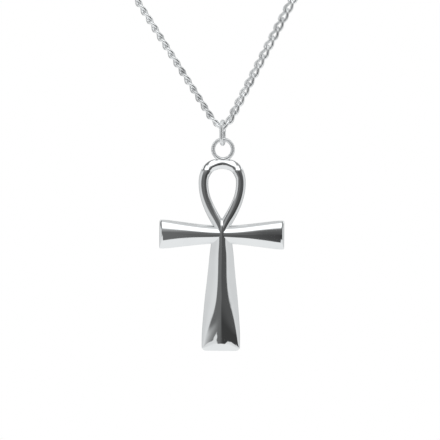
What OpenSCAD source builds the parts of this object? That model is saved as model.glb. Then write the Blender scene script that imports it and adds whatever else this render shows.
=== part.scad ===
// Ankh pendant on a twisted curb chain, held up at the nape.
// Seen from the front, +X is to the right, +Y is towards the back and +Z is up.
// The origin is the middle of the clasp, at the back of the neck.
// The front ridges of the ankh face -Y. All sizes are in millimetres.

/* [Ankh body] */
// Height of the cast body, from the top of the loop to the edge of the foot
body_h = 46.4; // [42:0.4:50]
// Length of the crossbar from end to end
bar_len = 30; // [27:0.5:33]
// Height of the crossbar at its ends
bar_end_h = 6.9; // [6:0.1:7.6]
// Height of the crossbar in the middle
bar_mid_h = 4.3; // [3.8:0.1:5]
// Width of the foot at its lower edge
foot_w = 9.2; // [8:0.1:10]
// Width of the foot where it leaves the crossbar
foot_top_w = 4.8; // [4.2:0.1:5.4]
// Width of the loop's band half way down its sides
band_w = 2.3; // [2:0.1:2.6]
// Height of the straight side wall, behind the domed front
wall = 0.75; // [0.5:0.05:1]
// Height of the domed front above the side wall, where the ridges cross
dome_h = 1.5; // [1.35:0.05:1.8]
// How much of the foot's front is roof-shaped, the rest being round
roof = 0.7; // [0:0.05:0.8]

/* [Ring and link] */
// Outer diameter of the ring soldered to the loop
ring_od = 5.7; // [5.2:0.1:6.4]
// Wire diameter of the ring
ring_wire = 0.95; // [0.8:0.05:1.05]
// Wire diameter of the oval link
link_wire = 0.9; // [0.7:0.05:0.95]
// Turn of the oval link about the vertical, seen from above
link_turn = -12; // [-20:1:20]
// Free play between the oval link and the chain or the ring
play = 0.2; // [0.15:0.05:0.3]

/* [Chain] */
// Outer diameter of the twisted chain
chain_d = 1.8; // [1.5:0.1:2]
// Radius of the bend at the chain's lowest point
bend_r = 1.6; // [1.5:0.05:1.9]

/* [Clasp] */
// Length of the clasp's barrel
clasp_len = 10; // [9:0.5:12]
// Diameter of the clasp's barrel
clasp_d = 3.2; // [2.8:0.1:3.8]

/* [Hidden] */
bright = [0.86, 0.87, 0.88];
steel = [0.78, 0.79, 0.81];

// Lowest point of the chain's centre line
low = [0, -103, -166];
// The plane of the two front strands leans back this far
back_lean = 15;

// Centre lines of the chain's two sides, from the clasp's eye down to the front.
// Columns: x, y, z. The last row is on the straight run above the bend.
side_right = [
  [7.2, 0, 0], [22, -3, -3], [38.5, -11, -9], [53, -24, -19], [62.5, -40, -31],
  [62.5, -56, -46], [55.5, -70, -64], [44, -80, -84], [30.4, -87.5, -108.1], [17.4, -94.5, -133.1]
];
side_left = [
  [-7.2, 0, 0], [-22, -3, -3], [-38.5, -11, -9], [-53, -24, -19], [-62.5, -40, -31],
  [-63.5, -56, -46], [-59, -70, -64], [-50, -80, -84], [-37.5, -87.5, -108.1], [-22.2, -94.5, -133.1]
];

// Right half of the loop's centre line, from the top down to the crossing.
// Columns: x, z, width of the band, height of its dome, part of the full roof shape
half_loop = [
  [0, -0.9, band_w + 0.3, 0.62, 0.7], [2.3, -1.44, band_w + 0.3, 0.66, 0.78], [3.3, -2.12, band_w + 0.3, 0.7, 0.7],
  [3.96, -3.14, band_w + 0.2, 0.8, 0.2], [4.37, -4.25, band_w + 0.03, 0.8, 0.04], [4.5, -5.66, band_w, 0.77, 0],
  [4.37, -7.4, band_w, 0.75, 0], [3.97, -9.2, band_w + 0.05, 0.78, 0], [3.3, -11, band_w + 0.15, 0.85, 0],
  [2.42, -12.8, band_w + 0.25, 0.97, 0.03], [1.42, -14.6, band_w + 0.3, 1.14, 0.08],
  [0.55, -16.4, band_w + 0.3, 1.32, 0.17], [0.06, -17.9, band_w + 0.3, dome_h - 0.05, 0.28]
];

// Foot of the ankh. Columns: z, share of the way from the top width to the lower width,
// height of the dome, part of the full roof shape
foot_rows = [
  [-17.6, 0, dome_h, 0.86], [-20.3, 0.07, dome_h, 0.94], [-22.6, 0.2, dome_h + 0.04, 1],
  [-25.4, 0.32, dome_h + 0.12, 1.08], [-29, 0.48, dome_h + 0.28, 1.14], [-33, 0.68, dome_h + 0.43, 1.11],
  [-36.5, 0.82, dome_h + 0.43, 0.94], [-39.5, 0.92, dome_h + 0.3, 0.69], [-41.8, 0.98, dome_h + 0.1, 0.49],
  [-43.4, 1, dome_h - 0.14, 0.4]
];
// Rounding of the foot's lower end: length, slope before it, fall of the dome in it, corner radius
foot_end_l = 2.6;
foot_slope = 0.15;
foot_end_fall = 0.85;
foot_corner = 1;

// Half of the crossbar. Columns: share of the half length, share of the flare,
// height of the dome, part of the full roof shape
bar_rows = [
  [0, 0, dome_h, 0.36], [0.08, 0.02, dome_h, 0.34], [0.2, 0.09, dome_h, 0.3], [0.32, 0.19, dome_h, 0.29],
  [0.45, 0.36, dome_h, 0.29], [0.58, 0.55, dome_h - 0.01, 0.3], [0.71, 0.73, dome_h - 0.04, 0.33],
  [0.84, 0.915, dome_h - 0.09, 0.38], [0.9, 0.98, dome_h - 0.12, 0.39], [0.93, 1, dome_h - 0.14, 0.39]
];
// Rounding of the crossbar's ends: length, fall of the dome, corner radius
bar_end_l = 1;
bar_end_fall = 0.75;
bar_corner = 0.35;

// The tables of the loop and the foot are drawn from z = 0.4 down to minus this
body_h0 = 46;
// Middle of the crossbar
bar_z = -18.05;
// Middle of the ring above z = 0 of the tables, so that the ring sinks 0.8 into the loop
top_gap = ring_od / 2 - 0.4;
// The ring is soldered on this far to the right of the middle
ring_x = 0.12;
// Back face of the body behind the ring's middle plane, so that it hangs plumb
back_off = 0.94;
// Where the dome's cross-section has its points, as shares of the half width
dome_steps = [-1, -0.94, -0.78, -0.54, -0.26, 0, 0.26, 0.54, 0.78, 0.94, 1];

ring_r = (ring_od - ring_wire) / 2;
peg_z = ring_r - ring_wire / 2 - link_wire / 2 - play;
link_end_r = chain_d / 2 + play + link_wire / 2;
link_top = 6.75 - peg_z;
ring_pos = low + [0, 0, link_end_r - link_top - peg_z];

function lerp(a, b, t) = a + (b - a) * t;
function norm3(v) = v / norm(v);
// Height of the domed front at a share s of the half width, from 1 on the ridge to 0 at the edge
function dome(s, m) = let (e = 0.25)
  (1 - m) * sqrt(max(0, 1 - s * s))
  + m * (1 - (sqrt(s * s + e * e) - e) / (sqrt(1 + e * e) - e));
// Cross-section of the cast body: [across, depth from the back], half width a, dome height h,
// side wall w, rounding of the back edge c, roof share m
function section(a, h, w, c, m) = concat(
  [[-a, c]], [for (s = dome_steps) [s * a, w + h * dome(s, m)]], [[a, c], [a - c, 0], [-a + c, 0]]
);
// How far a rounded corner of radius r lies back, at a distance d before its end
function corner(r, d) = d >= r ? 0 : r - sqrt(max(0, r * r - pow(r - d, 2)));
// Smooth curve through four points, at t between the second and the third
function spline(p0, p1, p2, p3, t) =
  0.5 * (2 * p1 + (p2 - p0) * t + (2 * p0 - 5 * p1 + 4 * p2 - p3) * t * t
  + (3 * p1 - p0 - 3 * p2 + p3) * t * t * t);
// The point before the first one can be given
function smooth(p, k, before = undef) = let (n = len(p), first = is_undef(before) ? 2 * p[0] - p[1] : before) concat(
  [for (i = [0:n - 2]) for (j = [0:k - 1])
    spline(i == 0 ? first : p[i - 1], p[i], p[i + 1],
      i == n - 2 ? 2 * p[n - 1] - p[n - 2] : p[i + 2], j / k)],
  [p[n - 1]]
);
// Direction of a path at its point i
function along(p, i) = norm3(p[min(i + 1, len(p) - 1)] - p[max(i - 1, 0)]);

// Closed skin over a row of cross-sections with equal counts of points
module skin(rings) {
  n = len(rings[0]);
  m = len(rings);
  polyhedron(
    points = [for (r = rings) for (p = r) p],
    faces = concat(
      [[for (i = [0:n - 1]) i]],
      [for (k = [0:m - 2]) for (i = [0:n - 1]) let (j = (i + 1) % n, a = k * n, b = a + n)
        each [[a + i, b + i, b + j], [a + i, b + j, a + j]]],
      [[for (i = [n - 1:-1:0]) (m - 1) * n + i]]
    )
  );
}

// Right half of the loop, from the plane of symmetry at the top to the crossing
module loop_half() {
  next = half_loop[1];
  rows = smooth(half_loop, 3, [-next[0], next[1], next[2], next[3], next[4]]);
  path = [for (r = rows) [r[0], r[1]]];
  skin([for (i = [0:len(rows) - 1])
    let (
      t = i == 0 ? [1, 0] : norm3(path[min(i + 1, len(path) - 1)] - path[i - 1]),
      side = [t[1], -t[0]]
    )
    [for (q = section(rows[i][2] / 2, rows[i][3], wall, 0.2, roof * rows[i][4]))
      [path[i][0] + side[0] * q[0], back_off - q[1], path[i][1] + side[1] * q[0]]]]);
}

// Crossbar, flared towards both ends
module bar() {
  half = bar_len / 2;
  mid = [for (r = bar_rows) [r[0] * half, lerp(bar_mid_h, bar_end_h, r[1]) / 2, r[2], r[3]]];
  last = mid[len(mid) - 1];
  ends = [for (a = [25, 45, 65, 80, 90]) let (d = bar_end_l * (1 - sin(a)))
    [half - d, bar_end_h / 2 - corner(bar_corner, d), last[2] - bar_end_fall * (1 - cos(a)), last[3]]];
  right = concat(mid, ends);
  all = concat([for (i = [len(right) - 1:-1:1]) [-right[i][0], right[i][1], right[i][2], right[i][3]]], right);
  skin([for (r = all) [for (q = section(r[1], r[2] + 0.03, wall - 0.03, 0.25, roof * r[3]))
    [r[0], back_off - q[1], bar_z - q[0]]]]);
}

// Foot, from inside the crossing down to its rounded lower end
module foot() {
  up = [for (r = foot_rows) [r[0], lerp(foot_top_w, foot_w, r[1]) / 2, r[2], r[3]]];
  last = up[len(up) - 1];
  ends = [for (a = [20, 38, 54, 68, 79, 90]) let (d = foot_end_l * (1 - sin(a)))
    [-body_h0 + d, foot_w / 2 - corner(foot_corner, d),
     max(0.05, last[2] - foot_slope * (foot_end_l - d) - foot_end_fall * (1 - cos(a))), last[3]]];
  all = concat(up, ends);
  skin([for (r = all) [for (q = section(r[1], r[2], wall + 0.04, 0.3, roof * r[3])) [-q[0], back_off - q[1], r[0]]]]);
}

// Cast body with the round ring soldered to the top of its loop
module ankh() {
  color(bright) translate(ring_pos) {
    translate([0, 0, -top_gap]) resize([bar_len, 0, body_h]) union() {
      loop_half();
      mirror([1, 0, 0]) loop_half();
      bar();
      foot();
    }
    translate([ring_x, 0, 0]) rotate([90, 0, 0])
      rotate_extrude($fn = 96) translate([ring_r, 0]) circle(d = ring_wire, $fn = 48);
  }
}

// Long oval link seen edge-on from the front, round the chain above and through the ring below
module connector_link() {
  straight = link_top - 2 * link_end_r;
  color(steel) translate(low) rotate([0, 0, link_turn]) {
    rotate([0, 90, 0]) rotate([0, 0, 90]) rotate_extrude(angle = 180, $fn = 96)
      translate([link_end_r, 0]) circle(d = link_wire, $fn = 48);
    for (s = [-1, 1]) translate([0, s * link_end_r, -straight]) cylinder(d = link_wire, h = straight, $fn = 48);
    translate([0, 0, -straight]) rotate([0, 90, 0]) rotate([0, 0, -90]) rotate_extrude(angle = 180, $fn = 96)
      translate([link_end_r, 0]) circle(d = link_wire, $fn = 48);
  }
}

// Ring of points round a path, with one side always facing up the given way
function tube_ring(p, t, r, n) = let (
    u = norm3(cross(t, abs(t[2]) > 0.95 ? [0, 1, 0] : [0, 0, 1])),
    v = cross(u, t)
  ) [for (i = [0:n - 1]) p + r * (cos(i * 360 / n + 22.5) * u - sin(i * 360 / n + 22.5) * v)];

// Whole chain as one tube: up from the clasp's left eye, round the bend, and back to its right eye
module chain() {
  up = [0, sin(back_lean), cos(back_lean)];
  hub = low + bend_r * up;
  bend = [for (a = [-57.5:15:62.5]) hub + bend_r * (sin(a) * [1, 0, 0] - cos(a) * up)];
  right = smooth(side_right, 3);
  left = smooth(side_left, 3);
  run_r = [for (t = [0.25, 0.5, 0.75]) lerp(bend[len(bend) - 1], right[len(right) - 1], t)];
  run_l = [for (t = [0.75, 0.5, 0.25]) lerp(bend[0], left[len(left) - 1], t)];
  path = concat(left, run_l, bend, run_r, [for (i = [len(right) - 1:-1:0]) right[i]]);
  color(steel) skin([for (i = [0:len(path) - 1]) tube_ring(path[i], along(path, i), chain_d / 2, 8)]);
}

// Plain barrel with an eye soldered to each end
module clasp() {
  color(steel) {
    rotate([0, 90, 0]) rotate_extrude($fn = 64) polygon([
      [0, -clasp_len / 2], [0.9, -clasp_len / 2], [clasp_d / 2 - 0.3, -clasp_len / 2 + 0.35],
      [clasp_d / 2, -clasp_len / 2 + 1.3], [clasp_d / 2, clasp_len / 2 - 1.3],
      [clasp_d / 2 - 0.3, clasp_len / 2 - 0.35], [0.9, clasp_len / 2], [0, clasp_len / 2]]);
    for (s = [-1, 1]) translate([s * (clasp_len / 2 + 0.8), 0, 0])
      rotate_extrude($fn = 64) translate([0.85, 0]) circle(d = 0.6, $fn = 32);
  }
}

ankh();
connector_link();
chain();
clasp();
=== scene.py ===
"""Looks of the ankh pendant necklace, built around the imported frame.

Metres in Blender, millimetres in the tables below. +Z is up, the ridged front faces -Y.
"""

import math

import bmesh
import bpy
import numpy as np
from mathutils import Matrix, Vector


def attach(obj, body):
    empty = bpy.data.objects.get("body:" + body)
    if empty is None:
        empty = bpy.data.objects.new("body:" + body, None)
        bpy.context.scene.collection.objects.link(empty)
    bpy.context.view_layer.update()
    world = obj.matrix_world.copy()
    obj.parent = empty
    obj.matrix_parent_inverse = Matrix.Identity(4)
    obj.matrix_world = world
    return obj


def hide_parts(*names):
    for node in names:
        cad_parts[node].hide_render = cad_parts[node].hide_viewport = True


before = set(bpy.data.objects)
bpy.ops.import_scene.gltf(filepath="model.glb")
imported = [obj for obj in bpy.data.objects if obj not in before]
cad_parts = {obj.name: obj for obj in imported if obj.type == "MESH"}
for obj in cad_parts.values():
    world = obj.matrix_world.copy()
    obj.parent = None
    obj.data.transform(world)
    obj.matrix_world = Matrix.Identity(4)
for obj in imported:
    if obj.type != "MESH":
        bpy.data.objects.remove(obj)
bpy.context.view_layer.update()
MM = 0.001

# ---------------------------------------------------------------- camera
# The photo is taken straight on through a long lens: 440 px across 105.6 mm at the pendant.
PENDANT = Vector((0.0, -0.103, -0.17105))
AIM = Vector((-0.00045, -0.1040, -0.1882))
LENS = 180.0
DISTANCE = LENS / 36.0 * 0.1056
ROLL = math.radians(0.48)

cam_data = bpy.data.cameras.new("camera")
cam_data.lens = LENS
cam_data.sensor_width = 36.0
cam_data.clip_start = 0.02
cam_data.clip_end = 50.0
cam = bpy.data.objects.new("camera", cam_data)
bpy.context.scene.collection.objects.link(cam)
cam.matrix_world = (
    Matrix.Translation(AIM - Vector((0, DISTANCE, 0)))
    @ Matrix.Rotation(math.radians(90), 4, "X")
    @ Matrix.Rotation(ROLL, 4, "Z")
)
bpy.context.scene.camera = cam
bpy.context.scene.view_settings.view_transform = "Standard"
bpy.context.scene.view_settings.look = "None"


# ---------------------------------------------------------------- small tools
def catmull(rows, k, first=None, last=None):
    """Smooth curve through rows (a list of equal-length tuples), k steps a span."""
    p = np.array(rows, float)
    before = np.array(first, float) if first is not None else 2 * p[0] - p[1]
    after = np.array(last, float) if last is not None else 2 * p[-1] - p[-2]
    q = np.vstack([before, p, after])
    out = []
    for i in range(len(p) - 1):
        a, b, c, d = q[i], q[i + 1], q[i + 2], q[i + 3]
        for j in range(k):
            t = j / k
            out.append(
                0.5
                * (
                    2 * b
                    + (c - a) * t
                    + (2 * a - 5 * b + 4 * c - d) * t * t
                    + (3 * b - a - 3 * c + d) * t**3
                )
            )
    out.append(p[-1])
    return np.array(out)


def unit(v):
    v = np.asarray(v, float)
    return v / np.linalg.norm(v, axis=-1, keepdims=True)


def mesh_object(name, verts, faces, scale=MM):
    mesh = bpy.data.meshes.new(name)
    mesh.from_pydata([tuple(v) for v in np.asarray(verts, float) * scale], [], faces)
    mesh.validate()
    obj = bpy.data.objects.new(name, mesh)
    bpy.context.scene.collection.objects.link(obj)
    return obj


def grid_faces(rows, cols, closed_rows=False, closed_cols=True, start=0):
    faces = []
    for r in range(rows if closed_rows else rows - 1):
        for c in range(cols if closed_cols else cols - 1):
            a, b = start + r * cols, start + ((r + 1) % rows) * cols
            d = (c + 1) % cols
            faces.append((a + c, b + c, b + d, a + d))
    return faces


def loft(name, rings):
    """Closed skin over equal rings of points, capped at both ends, facing outwards."""
    rings = np.array(rings, float)
    m, n = rings.shape[:2]
    faces = grid_faces(m, n)
    faces.append(tuple(range(n)))
    faces.append(tuple((m - 1) * n + i for i in range(n - 1, -1, -1)))
    obj = mesh_object(name, rings.reshape(-1, 3), faces)
    outward(obj)
    return obj


def outward(obj):
    bm = bmesh.new()
    bm.from_mesh(obj.data)
    if bm.calc_volume(signed=True) < 0:
        bmesh.ops.reverse_faces(bm, faces=bm.faces)
    bm.to_mesh(obj.data)
    bm.free()


def tube(path, radius, sides, closed=True, up=(0, 0, 1)):
    """Rings of points round a path. A closed path keeps one fixed side direction."""
    path = np.array(path, float)
    if closed:
        tangent = unit(np.roll(path, -1, 0) - np.roll(path, 1, 0))
    else:
        tangent = unit(np.gradient(path, axis=0))
    up = np.array(up, float)
    u = unit(np.cross(tangent, up))
    v = np.cross(u, tangent)
    a = np.linspace(0, 2 * np.pi, sides, endpoint=False)
    return (
        path[:, None, :]
        + radius * np.cos(a)[None, :, None] * u[:, None, :]
        + radius * np.sin(a)[None, :, None] * v[:, None, :]
    )


def union(base, *others):
    """Base joined with the others into one watertight body. The others are removed."""
    for other in others:
        mod = base.modifiers.new("union", "BOOLEAN")
        mod.operation = "UNION"
        mod.object = other
        mod.solver = "MANIFOLD"
        deps = bpy.context.evaluated_depsgraph_get()
        mesh = bpy.data.meshes.new_from_object(base.evaluated_get(deps))
        base.modifiers.clear()
        old = base.data
        base.data = mesh
        bpy.data.meshes.remove(old)
        bpy.data.objects.remove(other)
    return base


def smooth_shade(obj, degrees):
    """Smooth shading, with edges sharper than the given angle kept crisp."""
    bm = bmesh.new()
    bm.from_mesh(obj.data)
    limit = math.radians(degrees)
    for f in bm.faces:
        f.smooth = True
    for e in bm.edges:
        e.smooth = len(e.link_faces) == 2 and e.calc_face_angle(0) < limit
    bm.to_mesh(obj.data)
    bm.free()


# ---------------------------------------------------------------- the ankh
BODY_TOP = -171.05 - 2.6  # top of the loop
BACK = -103 + 0.94  # flat back
WALL = 0.75


def dome(s, m, e=0.25):
    """Height of the front over its edge: a share m of it is a roof with a rounded ridge."""
    s = np.asarray(s, float)
    return (1 - m) * np.sqrt(np.maximum(0, 1 - s * s)) + m * (
        1 - (np.sqrt(s * s + e * e) - e) / (math.sqrt(1 + e * e) - e)
    )


def section(a, h, wall, c, m, lean=0.0, nd=45, nb=7):
    """Closed cross-section: across, and depth from the back. Lean moves the crest sideways."""
    s = np.sin(np.radians(np.linspace(-90, 90, nd)))
    pts = [(a * (x + lean * (1 - x * x)), wall + h * y) for x, y in zip(s, dome(s, m))]
    arc = np.radians((0, 22.5, 45, 67.5, 90))
    pts.append((a, (wall + c) / 2))
    pts += [(a - c + c * math.cos(t), c - c * math.sin(t)) for t in arc]
    pts += [((a - c) * t, 0.0) for t in np.linspace(1, -1, nb)[1:-1]]
    pts += [(-a + c - c * math.cos(t), c - c * math.sin(t)) for t in arc[::-1]]
    pts.append((-a, (wall + c) / 2))
    return np.array(pts)


def place(across_x, across_z, q, centre):
    """Section points to the shared frame: across direction in the XZ plane, depth to the front."""
    return np.stack(
        [
            centre[0] + across_x * q[:, 0],
            BACK - q[:, 1],
            BODY_TOP + centre[1] + across_z * q[:, 0],
        ],
        1,
    )


# x, z below the top, band width, dome height, roof share, lean towards the opening
LOOP = [
    (0, -0.9, 2.6, 0.62, 0.5, 0.02),
    (2.3, -1.44, 2.6, 0.66, 0.55, 0.18),
    (3.3, -2.12, 2.6, 0.7, 0.5, 0.24),
    (3.66, -2.6, 2.56, 0.79, 0.1, 0.15),
    (3.96, -3.14, 2.5, 0.83, 0.04, 0.14),
    (4.37, -4.25, 2.33, 0.8, 0.03, 0.13),
    (4.5, -5.66, 2.3, 0.77, 0.0, 0.12),
    (4.37, -7.4, 2.3, 0.75, 0.0, 0.12),
    (3.97, -9.2, 2.35, 0.79, 0.0, 0.12),
    (3.3, -11, 2.45, 0.87, 0.0, 0.11),
    (2.42, -12.8, 2.55, 0.99, 0.02, 0.09),
    (1.42, -14.6, 2.6, 1.15, 0.06, 0.07),
    (0.55, -16.4, 2.6, 1.32, 0.12, 0.04),
    (0.06, -17.9, 2.6, 1.45, 0.2, 0.0),
]


def loop_half(side):
    first = (-LOOP[1][0],) + LOOP[1][1:]
    rows = catmull(LOOP, 12, first=first)
    xz = rows[:, :2]
    tangent = unit(np.vstack([[1, 0], xz[2:] - xz[:-2], xz[-1] - xz[-2]]))
    rings = []
    for r, t in zip(rows, tangent):
        q = section(r[2] / 2, r[3], WALL, 0.2, r[4], r[5])
        ring = place(t[1], -t[0], q, (r[0], r[1]))
        ring[:, 0] *= side
        rings.append(ring)
    return loft("loop", rings)


# share of half length, half height, dome height, roof share on the left, on the right, lean down
BAR = [
    (0.0, 2.15, 1.5, 0.25, 0.25, 0.0),
    (0.08, 2.18, 1.5, 0.24, 0.24, 0.0),
    (0.2, 2.26, 1.5, 0.22, 0.2, 0.0),
    (0.32, 2.4, 1.5, 0.22, 0.18, -0.03),
    (0.45, 2.62, 1.5, 0.25, 0.16, -0.06),
    (0.58, 2.86, 1.49, 0.28, 0.14, -0.085),
    (0.71, 3.1, 1.46, 0.32, 0.15, -0.1),
    (0.84, 3.34, 1.41, 0.36, 0.17, -0.1),
    (0.9, 3.42, 1.38, 0.37, 0.18, -0.095),
    (0.933, 3.45, 1.36, 0.37, 0.18, -0.09),
]
BAR_Z = -18.05
BAR_END = 1.0  # length of the rounding over the end
BAR_FALL = 0.75  # how far the front falls in it
BAR_CORNER = 0.35


def bar():
    rings = []
    for side in (-1, 1):
        rows = catmull(BAR, 9)
        rows[:, 0] *= 15.0
        half = []
        for r in rows:
            half.append((r[0], r[1], r[2], r[3] if side < 0 else r[4], r[5]))
        last = half[-1]
        for a in np.radians(np.linspace(6, 90, 15)):
            back = BAR_END * (1 - math.sin(a))
            cut = 0.0
            if back < BAR_CORNER:
                cut = BAR_CORNER - math.sqrt(max(0, BAR_CORNER**2 - (BAR_CORNER - back) ** 2))
            half.append((15.0 - back, 3.45 - cut, last[2] - BAR_FALL * (1 - math.cos(a)), last[3], last[4]))
        ordered = half[::-1][:-1] if side < 0 else half
        for x, a, h, m, lean in ordered:
            q = section(a, h + 0.03, WALL - 0.03, 0.25, m, lean)
            rings.append(place(0.0, -1.0, q, (side * x, BAR_Z)))
    return loft("bar", rings)


# z below the top, half width, dome height, roof share
FOOT = [
    (-17.6, 2.4, 1.5, 0.6),
    (-20.3, 2.55, 1.5, 0.66),
    (-22.6, 2.84, 1.54, 0.7),
    (-25.4, 3.1, 1.62, 0.76),
    (-29.0, 3.46, 1.78, 0.8),
    (-33.0, 3.9, 1.92, 0.76),
    (-36.5, 4.2, 1.91, 0.64),
    (-39.5, 4.43, 1.8, 0.48),
    (-41.8, 4.57, 1.6, 0.34),
    (-43.4, 4.6, 1.36, 0.28),
]
FOOT_SLOPE = 0.15  # fall of the front at the last row, carried into the rounding
FOOT_END = 2.6
FOOT_FALL = 0.85
FOOT_CORNER = 1.0


def foot():
    rows = [tuple(r) for r in catmull(FOOT, 14)]
    last = rows[-1]
    for a in np.radians(np.linspace(6, 90, 15)):
        up = FOOT_END * (1 - math.sin(a))
        cut = 0.0
        if up < FOOT_CORNER:
            cut = FOOT_CORNER - math.sqrt(max(0, FOOT_CORNER**2 - (FOOT_CORNER - up) ** 2))
        fall = FOOT_SLOPE * (FOOT_END - up) + FOOT_FALL * (1 - math.cos(a))
        rows.append((-46 + up, 4.6 - cut, last[2] - fall, last[3]))
    rings = [
        place(-1.0, 0.0, section(a, h, WALL + 0.04, 0.3, m), (0.0, z)) for z, a, h, m in rows
    ]
    return loft("foot", rings)


def web():
    """The smooth swelling in the crotch, where the loop's two sides run into the bar."""
    half_z, half_x, high = 4.0, 1.6, 1.47
    bm = bmesh.new()
    bmesh.ops.create_uvsphere(bm, u_segments=64, v_segments=48, radius=1.0)
    mesh = bpy.data.meshes.new("web")
    bm.to_mesh(mesh)
    bm.free()
    obj = bpy.data.objects.new("web", mesh)
    bpy.context.scene.collection.objects.link(obj)
    for v in mesh.vertices:
        x, y, z = v.co
        front = y * high if y < 0 else y * (WALL - 0.06)
        v.co = (x * half_x * MM, (BACK - WALL + front) * MM, (BODY_TOP + BAR_Z + z * half_z) * MM)
    outward(obj)
    return obj


RING_C = np.array([0.12, -103, -171.2])
RING_R = 2.375


def ring_and_beads():
    t = np.linspace(0, 2 * np.pi, 128, endpoint=False)
    path = RING_C + np.stack([RING_R * np.sin(t), 0 * t, RING_R * np.cos(t)], 1)
    rings = tube(path, 0.475, 28, up=(0, 1, 0))
    verts = rings.reshape(-1, 3)
    ring = mesh_object("ring", verts, grid_faces(128, 28, closed_rows=True))
    outward(ring)
    beads = []
    for side in (-1, 1):
        centre = RING_C + np.array([side * 1.42, 0.0, -2.52])
        bm = bmesh.new()
        bmesh.ops.create_uvsphere(bm, u_segments=32, v_segments=16, radius=1.0)
        mesh = bpy.data.meshes.new("bead")
        bm.to_mesh(mesh)
        bm.free()
        obj = bpy.data.objects.new("bead", mesh)
        bpy.context.scene.collection.objects.link(obj)
        turn = Matrix.Rotation(math.radians(side * 24), 4, "Y")
        mesh.transform(
            Matrix.Translation(Vector(centre * MM))
            @ turn
            @ Matrix.Diagonal((0.00058, 0.00036, 0.00036, 1.0))
        )
        outward(obj)
        beads.append(obj)
    return ring, beads


def build_ankh():
    body = loop_half(1)
    ring, beads = ring_and_beads()
    union(body, loop_half(-1), bar(), foot(), web(), ring, *beads)
    bm = bmesh.new()
    bm.from_mesh(body.data)
    bmesh.ops.dissolve_degenerate(bm, edges=bm.edges, dist=1e-6)
    bmesh.ops.triangulate(bm, faces=[f for f in bm.faces if len(f.verts) > 3])
    bm.to_mesh(body.data)
    bm.free()
    body.name = "ankh_cast"
    smooth_shade(body, 28)
    return body


ankh = build_ankh()
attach(ankh, "pendant")
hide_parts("ankh")

# ---------------------------------------------------------------- the oval link
LOW = np.array([0, -103, -166.0])
LINK_R = 1.55
LINK_STRAIGHT = 2.4
LINK_WIRE = 0.45
LINK_TURN = math.radians(-12)


def build_link():
    top = [(LINK_R * math.sin(a), LINK_R * math.cos(a)) for a in np.radians(np.linspace(-90, 90, 41))]
    legs = np.linspace(0, -LINK_STRAIGHT, 14)[1:-1]
    pts = [(y, z) for y, z in top]
    pts += [(LINK_R, z) for z in legs]
    pts += [
        (LINK_R * math.cos(a), -LINK_STRAIGHT - LINK_R * math.sin(a))
        for a in np.radians(np.linspace(0, 180, 41))
    ]
    pts += [(-LINK_R, z) for z in legs[::-1]]
    c, s = math.cos(LINK_TURN), math.sin(LINK_TURN)
    path = np.array([LOW + np.array([-s * y, c * y, z]) for y, z in pts])
    rings = tube(path, LINK_WIRE, 24, up=(c, s, 0))
    obj = mesh_object("oval_link", rings.reshape(-1, 3), grid_faces(len(path), 24, closed_rows=True))
    outward(obj)
    smooth_shade(obj, 40)
    return obj


oval = build_link()
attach(oval, "link")
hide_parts("connector_link")

# ---------------------------------------------------------------- the chain
SIDE_R = [
    (7.2, 0, 0), (22, -3, -3), (38.5, -11, -9), (53, -24, -19), (62.5, -40, -31),
    (62.5, -56, -46), (55.5, -70, -64), (44, -80, -84), (30.4, -87.5, -108.1), (17.4, -94.5, -133.1),
]
SIDE_L = [
    (-7.2, 0, 0), (-22, -3, -3), (-38.5, -11, -9), (-53, -24, -19), (-62.5, -40, -31),
    (-63.5, -56, -46), (-59, -70, -64), (-50, -80, -84), (-37.5, -87.5, -108.1), (-22.2, -94.5, -133.1),
]
BEND = {-1: 2.2, 1: 1.25}  # bend radius at the lowest point, left and right
LEAN = math.radians(15)
EYE = 6.65  # the last joint lies in the clasp's eye

WIRE = 0.78
TWIST = math.radians(-50)


def side_path(rows, side):
    """Centre line of one side from the lowest point up to the clasp's eye."""
    up = np.array([0, math.sin(LEAN), math.cos(LEAN)])
    hub = LOW + BEND[side] * up
    arc = [
        hub + BEND[side] * (math.sin(a) * np.array([side, 0, 0]) - math.cos(a) * up)
        for a in np.radians(np.linspace(0, 57.5, 24))
    ]
    upper = catmull(rows, 12)[::-1]
    start = arc[-1]
    run = [start + (upper[0] - start) * t for t in np.linspace(0, 1, 30)[1:-1]]
    end = np.array([[side * EYE, 0, 0]])
    return np.vstack([arc, run, upper[:-1], upper[-1:], end])


def resample(path, count):
    seg = np.linalg.norm(np.diff(path, axis=0), axis=1)
    s = np.concatenate([[0], np.cumsum(seg)])
    t = np.linspace(0, s[-1], count)
    return np.stack([np.interp(t, s, path[:, i]) for i in range(3)], 1), s[-1]


def link_curve(inner, width, n):
    """Centre line of one twisted link, along X, with a small space at the joint."""
    t = np.linspace(0, 2 * np.pi, n, endpoint=False)
    c, s = np.cos(t), np.sin(t)
    half_l = (inner + WIRE + 0.02) / 2
    half_w = (width - WIRE) / 2
    u = half_l * np.sign(c) * np.abs(c) ** (2 / 2.2)
    v = half_w * np.sign(s) * np.abs(s) ** (2 / 2.2)
    a = TWIST * u / half_l
    return np.stack([u, v * np.cos(a), v * np.sin(a)], 1)


def chain_joints(rows, side, links, crowd):
    """Joints up one side. Crowd: how many links they sit lower than even spacing gives."""
    path, length = resample(side_path(rows, side), 6000)
    k = np.arange(links + 1)
    k = k - np.interp(k, [c[0] for c in crowd], [c[1] for c in crowd])
    joints = np.stack([np.interp(k / links * 5999, np.arange(6000), path[:, i]) for i in range(3)], 1)
    return joints, k / links * length


# joint number, links by which it sits lower
CROWD_L = [(0, 0), (1, 0.36), (2, 0.28), (3, 0.34), (20, 0.34), (60, 0), (96, 0)]
CROWD_R = [(0, 0), (1, 0.12), (2, 0.2), (3, 0.24), (20, 0.24), (60, 0), (93, 0)]

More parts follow.
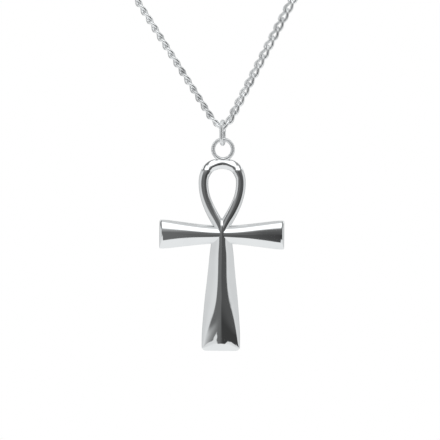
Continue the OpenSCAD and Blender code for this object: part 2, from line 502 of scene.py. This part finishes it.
# distance up the strand in mm (from the lowest point), roll of the links in degrees
ROLL_L = [(0, 56), (2, 80), (4, 98), (40, 98), (80, 96), (260, 90)]
ROLL_R = [(0, 76), (4, 58), (25, 44), (45, 38), (80, 42), (260, 60)]


def build_chain():
    left, s_l = chain_joints(SIDE_L, -1, 96, CROWD_L)
    right, s_r = chain_joints(SIDE_R, 1, 93, CROWD_R)
    # the oval link pulls the last joint up and makes the left strand's end flatter
    left[1] += np.array([0.0, 0.1, 0.38])
    left[0] += np.array([0.0, -0.12, -0.27])  # the lowest joint hangs clear of the oval link's wire
    joints = np.vstack([left[::-1], right[1:]])
    s = np.concatenate([-s_l[::-1], s_r[1:]])
    seg, ring = 40, 10
    base_faces = grid_faces(seg, ring, closed_rows=True)
    verts, faces, painted_shade = [], [], []
    for k in range(len(joints) - 1):
        a, b = joints[k], joints[k + 1]
        mid, inner = (a + b) / 2, np.linalg.norm(b - a)
        axis = unit(b - a)
        ref = np.array([0.0, -1.0, 0.0])
        across = unit(np.cross(axis, ref)) if abs(axis[1]) < 0.9 else unit(np.cross(axis, [0, 0, 1]))
        depth = np.cross(across, axis)
        at = (s[k] + s[k + 1]) / 2
        table = ROLL_L if at < 0 else ROLL_R
        roll = math.radians(np.interp(abs(at), [t[0] for t in table], [t[1] for t in table]))
        y_dir = math.cos(roll) * across + math.sin(roll) * depth
        z_dir = np.cross(axis, y_dir)
        width = np.interp(abs(at), [1.3, 2.0, 5.0], [1.5, 2.1, 2.6])
        line = link_curve(inner, width, seg)
        tangent = unit(np.roll(line, -1, 0) - np.roll(line, 1, 0))
        radial = line.copy()
        radial[:, 0] *= 0.35
        radial -= (radial * tangent).sum(1)[:, None] * tangent
        u = unit(radial)
        v = np.cross(tangent, u)
        ang = np.linspace(0, 2 * np.pi, ring, endpoint=False)
        pts = (
            line[:, None, :]
            + WIRE / 2 * (np.cos(ang)[None, :, None] * u[:, None, :] + np.sin(ang)[None, :, None] * v[:, None, :])
        ).reshape(-1, 3)
        local = pts
        world = mid + local[:, :1] * axis + local[:, 1:2] * y_dir + local[:, 2:3] * z_dir
        # painted shade: the wire's inner side darkens towards the link's ends, where the next link passes through;
        # kept per point for the chain material
        inside = np.repeat((np.abs(line[:, 0]) / (inner / 2 + WIRE / 2)) ** 4, ring)
        facing = np.tile((1 - np.cos(ang)) / 2, seg)
        off = len(verts) * seg * ring
        verts.append(world)
        painted_shade.append(0.15 + 0.85 * inside * facing)
        faces += [tuple(i + off for i in f) for f in base_faces]
    obj = mesh_object("curb_chain", np.vstack(verts), faces)
    attr = obj.data.attributes.new("painted_crevice_shade", "FLOAT", "POINT")
    attr.data.foreach_set("value", np.concatenate(painted_shade).astype(np.float32))
    bm = bmesh.new()
    bm.from_mesh(obj.data)
    for f in bm.faces:
        f.smooth = True
    f0 = bm.calc_volume(signed=True)
    if f0 < 0:
        bmesh.ops.reverse_faces(bm, faces=bm.faces)
    bm.to_mesh(obj.data)
    bm.free()
    return obj


chain = build_chain()
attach(chain, "necklace")
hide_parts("chain")

# ---------------------------------------------------------------- the clasp


def build_clasp():
    profile = [
        (-5.0, 0.0), (-5.0, 0.7), (-4.93, 0.86), (-4.8, 0.98), (-4.62, 1.2), (-4.3, 1.38), (-3.9, 1.5),
        (-3.4, 1.57), (-3.0, 1.59), (-2.92, 1.5), (-2.8, 1.46), (-2.68, 1.5), (-2.6, 1.59), (-2.2, 1.6),
        (-0.5, 1.6), (-0.12, 1.59), (-0.05, 1.52), (0.05, 1.52), (0.12, 1.59), (0.5, 1.6), (2.2, 1.6),
        (2.6, 1.59), (2.68, 1.5), (2.8, 1.46), (2.92, 1.5), (3.0, 1.59), (3.4, 1.57), (3.9, 1.5),
        (4.3, 1.38), (4.62, 1.2), (4.8, 0.98), (4.93, 0.86), (5.0, 0.7), (5.0, 0.0),
    ]
    n = 96
    ang = np.linspace(0, 2 * np.pi, n, endpoint=False)
    rings = []
    for x, r in profile[1:-1]:
        rings.append(np.stack([np.full(n, x), r * np.cos(ang), r * np.sin(ang)], 1))
    barrel = loft("barrel", rings)
    eyes = []
    for side in (-1, 1):
        t = np.linspace(0, 2 * np.pi, 64, endpoint=False)
        path = np.stack([side * 5.8 + 0.85 * np.cos(t), 0.85 * np.sin(t), 0 * t], 1)
        rings = tube(path, 0.3, 20, up=(0, 0, 1))
        eye = mesh_object("eye", rings.reshape(-1, 3), grid_faces(64, 20, closed_rows=True))
        outward(eye)
        eyes.append(eye)
    union(barrel, *eyes)
    barrel.name = "barrel_clasp"
    smooth_shade(barrel, 35)
    return barrel


clasp = build_clasp()
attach(clasp, "necklace")
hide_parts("clasp")


# ---------------------------------------------------------------- materials
class Nodes:
    """A few lines of help for building node trees."""

    def __init__(self, tree):
        self.tree = tree
        self.n = tree.nodes
        self.n.clear()

    def add(self, kind, **values):
        node = self.n.new(kind)
        for k, v in values.items():
            setattr(node, k, v)
        return node

    def link(self, a, b):
        self.tree.links.new(a, b)

    def math(self, op, a, b=None, c=None, clamp=False):
        node = self.n.new("ShaderNodeMath")
        node.operation = op
        node.use_clamp = clamp
        for i, v in enumerate((a, b, c)):
            if v is None:
                continue
            if hasattr(v, "links"):
                self.link(v, node.inputs[i])
            else:
                node.inputs[i].default_value = v
        return node.outputs[0]

    def step(self, x, lo, hi, out_lo=0.0, out_hi=1.0, smooth=True):
        node = self.n.new("ShaderNodeMapRange")
        node.interpolation_type = "SMOOTHSTEP" if smooth else "LINEAR"
        self.link(x, node.inputs["Value"])
        for name, v in (("From Min", lo), ("From Max", hi), ("To Min", out_lo), ("To Max", out_hi)):
            if hasattr(v, "links"):
                self.link(v, node.inputs[name])
            else:
                node.inputs[name].default_value = v
        return node.outputs["Result"]

    def mix(self, fac, a, b):
        """a where fac is 0, b where it is 1."""
        return self.math("ADD", self.math("MULTIPLY", a, self.math("SUBTRACT", 1.0, fac)), self.math("MULTIPLY", b, fac))


def metal(name, light, dark, rough, scratch, bump, painted_crevice_shade=False, ring_rough=0.0):
    mat = bpy.data.materials.new(name)
    mat.use_nodes = True
    k = Nodes(mat.node_tree)
    out = k.add("ShaderNodeOutputMaterial")
    bsdf = k.add("ShaderNodeBsdfPrincipled")
    bsdf.inputs["Metallic"].default_value = 1.0
    k.link(bsdf.outputs[0], out.inputs["Surface"])
    coord = k.add("ShaderNodeTexCoord").outputs["Object"]

    def noise(scale, detail=3.0, stretch=(1, 1, 1), turn=(0, 0, 0)):
        mapping = k.add("ShaderNodeMapping")
        mapping.inputs["Scale"].default_value = stretch
        mapping.inputs["Rotation"].default_value = turn
        k.link(coord, mapping.inputs["Vector"])
        node = k.add("ShaderNodeTexNoise")
        node.inputs["Scale"].default_value = scale
        node.inputs["Detail"].default_value = detail
        k.link(mapping.outputs[0], node.inputs["Vector"])
        return node.outputs["Fac"]

    broad = noise(180.0)
    fine = noise(1400.0, 4.0)
    marks_a = noise(2600.0, 2.0, (1.0, 1.0, 0.06), (0, math.radians(24), 0))
    marks_b = noise(2300.0, 2.0, (1.0, 1.0, 0.05), (0, math.radians(-57), 0))
    scratches = k.math("MAXIMUM", k.step(marks_a, 0.66, 0.74), k.step(marks_b, 0.67, 0.75))

    ramp = k.add("ShaderNodeMix", data_type="RGBA")
    ramp.inputs["A"].default_value = (*light, 1)
    ramp.inputs["B"].default_value = (*dark, 1)
    tone = k.math("ADD", k.step(broad, 0.4, 0.75, 0.0, 0.5), k.math("MULTIPLY", scratches, 0.3))
    # painted shade: the chain's point attribute pulls the colour to the dark end where the links interlock
    if painted_crevice_shade:
        attr = k.add("ShaderNodeAttribute", attribute_name="painted_crevice_shade")
        tone = k.math("ADD", tone, k.step(attr.outputs["Fac"], 0.15, 0.95, 0.0, 1.2))
    k.link(k.math("MINIMUM", tone, 1.0), ramp.inputs["Factor"])
    k.link(ramp.outputs["Result"], bsdf.inputs["Base Color"])

    r = k.math("ADD", k.step(broad, 0.35, 0.7, rough[0], rough[1]), k.math("MULTIPLY", scratches, scratch))
    if ring_rough:
        # the soldered ring above the loop isn't buffed as bright as the casting
        sep = k.add("ShaderNodeSeparateXYZ")
        k.link(coord, sep.inputs[0])
        r = k.math("ADD", r, k.step(sep.outputs[2], -0.1736, -0.173, 0.0, ring_rough))
    k.link(k.math("ADD", r, k.step(fine, 0.4, 0.7, 0.0, 0.02)), bsdf.inputs["Roughness"])

    b = k.add("ShaderNodeBump")
    b.inputs["Strength"].default_value = bump
    b.inputs["Distance"].default_value = 0.00002
    height = k.math("SUBTRACT", k.math("MULTIPLY", broad, 0.6), k.math("MULTIPLY", scratches, 0.35))
    k.link(k.math("ADD", height, k.math("MULTIPLY", fine, 0.12)), b.inputs["Height"])
    k.link(b.outputs[0], bsdf.inputs["Normal"])
    return mat


polished = metal("polished_cast_metal", (0.87, 0.88, 0.885), (0.80, 0.81, 0.82), (0.035, 0.075), 0.10, 0.12, ring_rough=0.4)
bright = metal("bright_wire_metal", (0.92, 0.93, 0.935), (0.82, 0.83, 0.84), (0.42, 0.5), 0.12, 0.15)
linked = metal("chain_metal", (0.95, 0.96, 0.965), (0.3, 0.3, 0.31), (0.17, 0.25), 0.12, 0.15, painted_crevice_shade=True)
barrelled = metal("clasp_metal", (0.82, 0.83, 0.84), (0.70, 0.71, 0.72), (0.07, 0.14), 0.14, 0.15)

for obj, mat in ((ankh, polished), (oval, bright), (chain, linked), (clasp, barrelled)):
    obj.data.materials.clear()
    obj.data.materials.append(mat)
for node, mat in (("ankh", polished), ("connector_link", bright), ("chain", bright), ("clasp", barrelled)):
    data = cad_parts[node].data
    if len(data.materials) == 0:
        data.materials.append(mat)
    else:
        for i in range(len(data.materials)):
            data.materials[i] = mat

# ---------------------------------------------------------------- plain studio
CENTRE = Vector((0.0, -0.103, -0.195))


def studio_shell():
    """A soft light tent round the object, with a dark gap in front where the camera stands."""
    bm = bmesh.new()
    bmesh.ops.create_uvsphere(bm, u_segments=96, v_segments=48, radius=3.0)
    mesh = bpy.data.meshes.new("light_tent")
    bm.to_mesh(mesh)
    bm.free()
    obj = bpy.data.objects.new("light_tent", mesh)
    obj.location = CENTRE
    bpy.context.scene.collection.objects.link(obj)
    mat = bpy.data.materials.new("light_tent")
    mat.use_nodes = True
    mat.cycles.emission_sampling = "NONE"
    k = Nodes(mat.node_tree)
    out = k.add("ShaderNodeOutputMaterial")
    em = k.add("ShaderNodeEmission")
    k.link(em.outputs[0], out.inputs["Surface"])
    coord = k.add("ShaderNodeTexCoord").outputs["Object"]
    sep = k.add("ShaderNodeSeparateXYZ")
    k.link(coord, sep.inputs[0])
    x, y, z = sep.outputs
    deg = 180 / math.pi
    az = k.math("MULTIPLY", k.math("ARCTAN2", x, k.math("MULTIPLY", y, -1.0)), deg)
    el = k.math("MULTIPLY", k.math("ARCSINE", k.math("DIVIDE", z, 3.0)), deg)
    side = k.math("ABSOLUTE", az)

    # light on the walls: greyer round the sides and behind
    wall = k.mix(k.step(side, 50.0, 62.0), 0.78, 0.72)
    wall = k.mix(k.step(side, 95.0, 140.0), wall, 0.36)
    # bright panel in front and above, dimmer straight overhead and behind, pale below
    light = k.mix(k.step(el, 24.0, 34.0), wall, 1.5)
    high = k.step(el, 56.0, 66.0)
    back_high = k.math("MULTIPLY", k.step(side, 95.0, 130.0), k.step(el, 10.0, 30.0))
    light = k.mix(k.math("MAXIMUM", high, back_high), light, 0.68)
    flags = k.math("MULTIPLY", k.step(side, 27.0, 37.0), k.step(side, 88.0, 70.0))
    flags = k.math("MULTIPLY", flags, k.math("MULTIPLY", k.step(el, 16.0, 26.0), k.step(el, 78.0, 66.0)))
    light = k.mix(flags, light, k.step(az, -10.0, 10.0, 0.2, 0.34))
    light = k.mix(k.step(el, -26.0, -34.0), light, 0.9)

    # the dark gap round the camera
    in_right = k.step(k.math("SUBTRACT", az, 51.5), 1.5, -1.5)
    soft = k.mix(k.step(el, -2.0, -8.0), 1.5, 14.0)
    edge_l = k.math("ADD", az, k.mix(k.step(el, -2.0, -8.0), 43.0, 37.0))
    in_left = k.step(edge_l, k.math("MULTIPLY", soft, -1.0), soft)
    in_top = k.step(el, 30.0, 21.0)
    # its lower rim is higher on the left and has two notches
    notch_a = k.math("SUBTRACT", 1.0, k.math("DIVIDE", k.math("ABSOLUTE", k.math("ADD", az, 18.5)), 4.5), clamp=True)
    notch_b = k.math("SUBTRACT", 1.0, k.math("DIVIDE", k.math("ABSOLUTE", k.math("SUBTRACT", az, 20.0)), 8.0), clamp=True)
    rim = k.mix(k.step(az, -9.0, -15.0), -33.0, -20.0)
    rim = k.math("ADD", rim, k.math("MULTIPLY", notch_a, 7.0))
    rim = k.math("ADD", rim, k.math("MULTIPLY", notch_b, 12.5))
    rim = k.math("ADD", rim, k.math("ADD", k.step(az, 20.0, 28.0, 0.0, 11.0), k.step(az, 33.0, 38.0, 0.0, 3.0)))
    in_low = k.step(k.math("SUBTRACT", el, rim), -1.0, 1.0)
    inside = k.math("MULTIPLY", k.math("MULTIPLY", in_right, in_left), k.math("MULTIPLY", in_top, in_low))
    # a little light comes back from around the lens, and more from the lower left
    r = k.math("SQRT", k.math("ADD", k.math("MULTIPLY", az, az), k.math("MULTIPLY", el, el)))
    core = k.step(az, -5.0, 3.0, 0.15, 0.09)
    core = k.mix(k.step(r, 4.0, 1.5), core, 0.19)
    core = k.mix(k.math("MULTIPLY", k.step(az, 1.0, 8.0), k.step(el, -1.0, -9.0)), core, 0.048)
    # and the upper edge of the gap is soft, more so on the left
    core = k.math("ADD", core, k.math("MULTIPLY", k.step(el, 2.0, 24.0), k.step(az, -5.0, 3.0, 0.2, 0.06)))
    low_left = k.math("MULTIPLY", k.step(az, -12.0, -34.0), k.step(el, -4.0, -10.0))
    core = k.mix(low_left, core, 0.27)
    light = k.mix(inside, light, core)
    k.link(light, em.inputs["Strength"])
    em.inputs["Color"].default_value = (0.985, 1.0, 1.005, 1)
    mesh.materials.append(mat)
    obj.visible_camera = False
    obj.visible_shadow = False
    return obj


def studio_floor():
    bm = bmesh.new()
    bmesh.ops.create_circle(bm, cap_ends=True, segments=128, radius=2.2)
    mesh = bpy.data.meshes.new("floor")
    bm.to_mesh(mesh)
    bm.free()
    obj = bpy.data.objects.new("floor", mesh)
    obj.location = (0, -0.05, -0.5)
    bpy.context.scene.collection.objects.link(obj)
    mat = bpy.data.materials.new("pale_floor")
    mat.use_nodes = True
    k = Nodes(mat.node_tree)
    out = k.add("ShaderNodeOutputMaterial")
    bsdf = k.add("ShaderNodeBsdfPrincipled")
    bsdf.inputs["Base Color"].default_value = (0.8, 0.805, 0.81, 1)
    bsdf.inputs["Roughness"].default_value = 0.8
    bsdf.inputs["Specular IOR Level"].default_value = 0.1
    # it fades into the white backdrop towards its rim
    sep = k.add("ShaderNodeSeparateXYZ")
    k.link(k.add("ShaderNodeTexCoord").outputs["Object"], sep.inputs[0])
    x, y = sep.outputs[0], sep.outputs[1]
    r = k.math("SQRT", k.math("ADD", k.math("MULTIPLY", x, x), k.math("MULTIPLY", y, y)))
    white = k.add("ShaderNodeEmission")
    blend = k.add("ShaderNodeMixShader")
    k.link(k.step(r, 0.5, 2.1), blend.inputs[0])
    k.link(bsdf.outputs[0], blend.inputs[1])
    k.link(white.outputs[0], blend.inputs[2])
    k.link(blend.outputs[0], out.inputs["Surface"])
    mesh.materials.append(mat)
    obj.visible_glossy = False
    return obj


studio_shell()
studio_floor()

sun_data = bpy.data.lights.new("softbox", "AREA")
sun_data.shape = "DISK"
sun_data.size = 1.4
sun_data.energy = 9.0
softbox = bpy.data.objects.new("softbox", sun_data)
softbox.location = (-0.5, -0.6, 1.5)
softbox.rotation_euler = (Vector((0, -0.1, -0.15)) - Vector(softbox.location)).to_track_quat("-Z", "Y").to_euler()
bpy.context.scene.collection.objects.link(softbox)
softbox.visible_camera = False
softbox.visible_glossy = False

world = bpy.data.worlds.new("world")
world.use_nodes = True
world.node_tree.nodes["Background"].inputs["Color"].default_value = (1.0, 1.0, 1.0, 1)
world.node_tree.nodes["Background"].inputs["Strength"].default_value = 1.0
bpy.context.scene.world = world
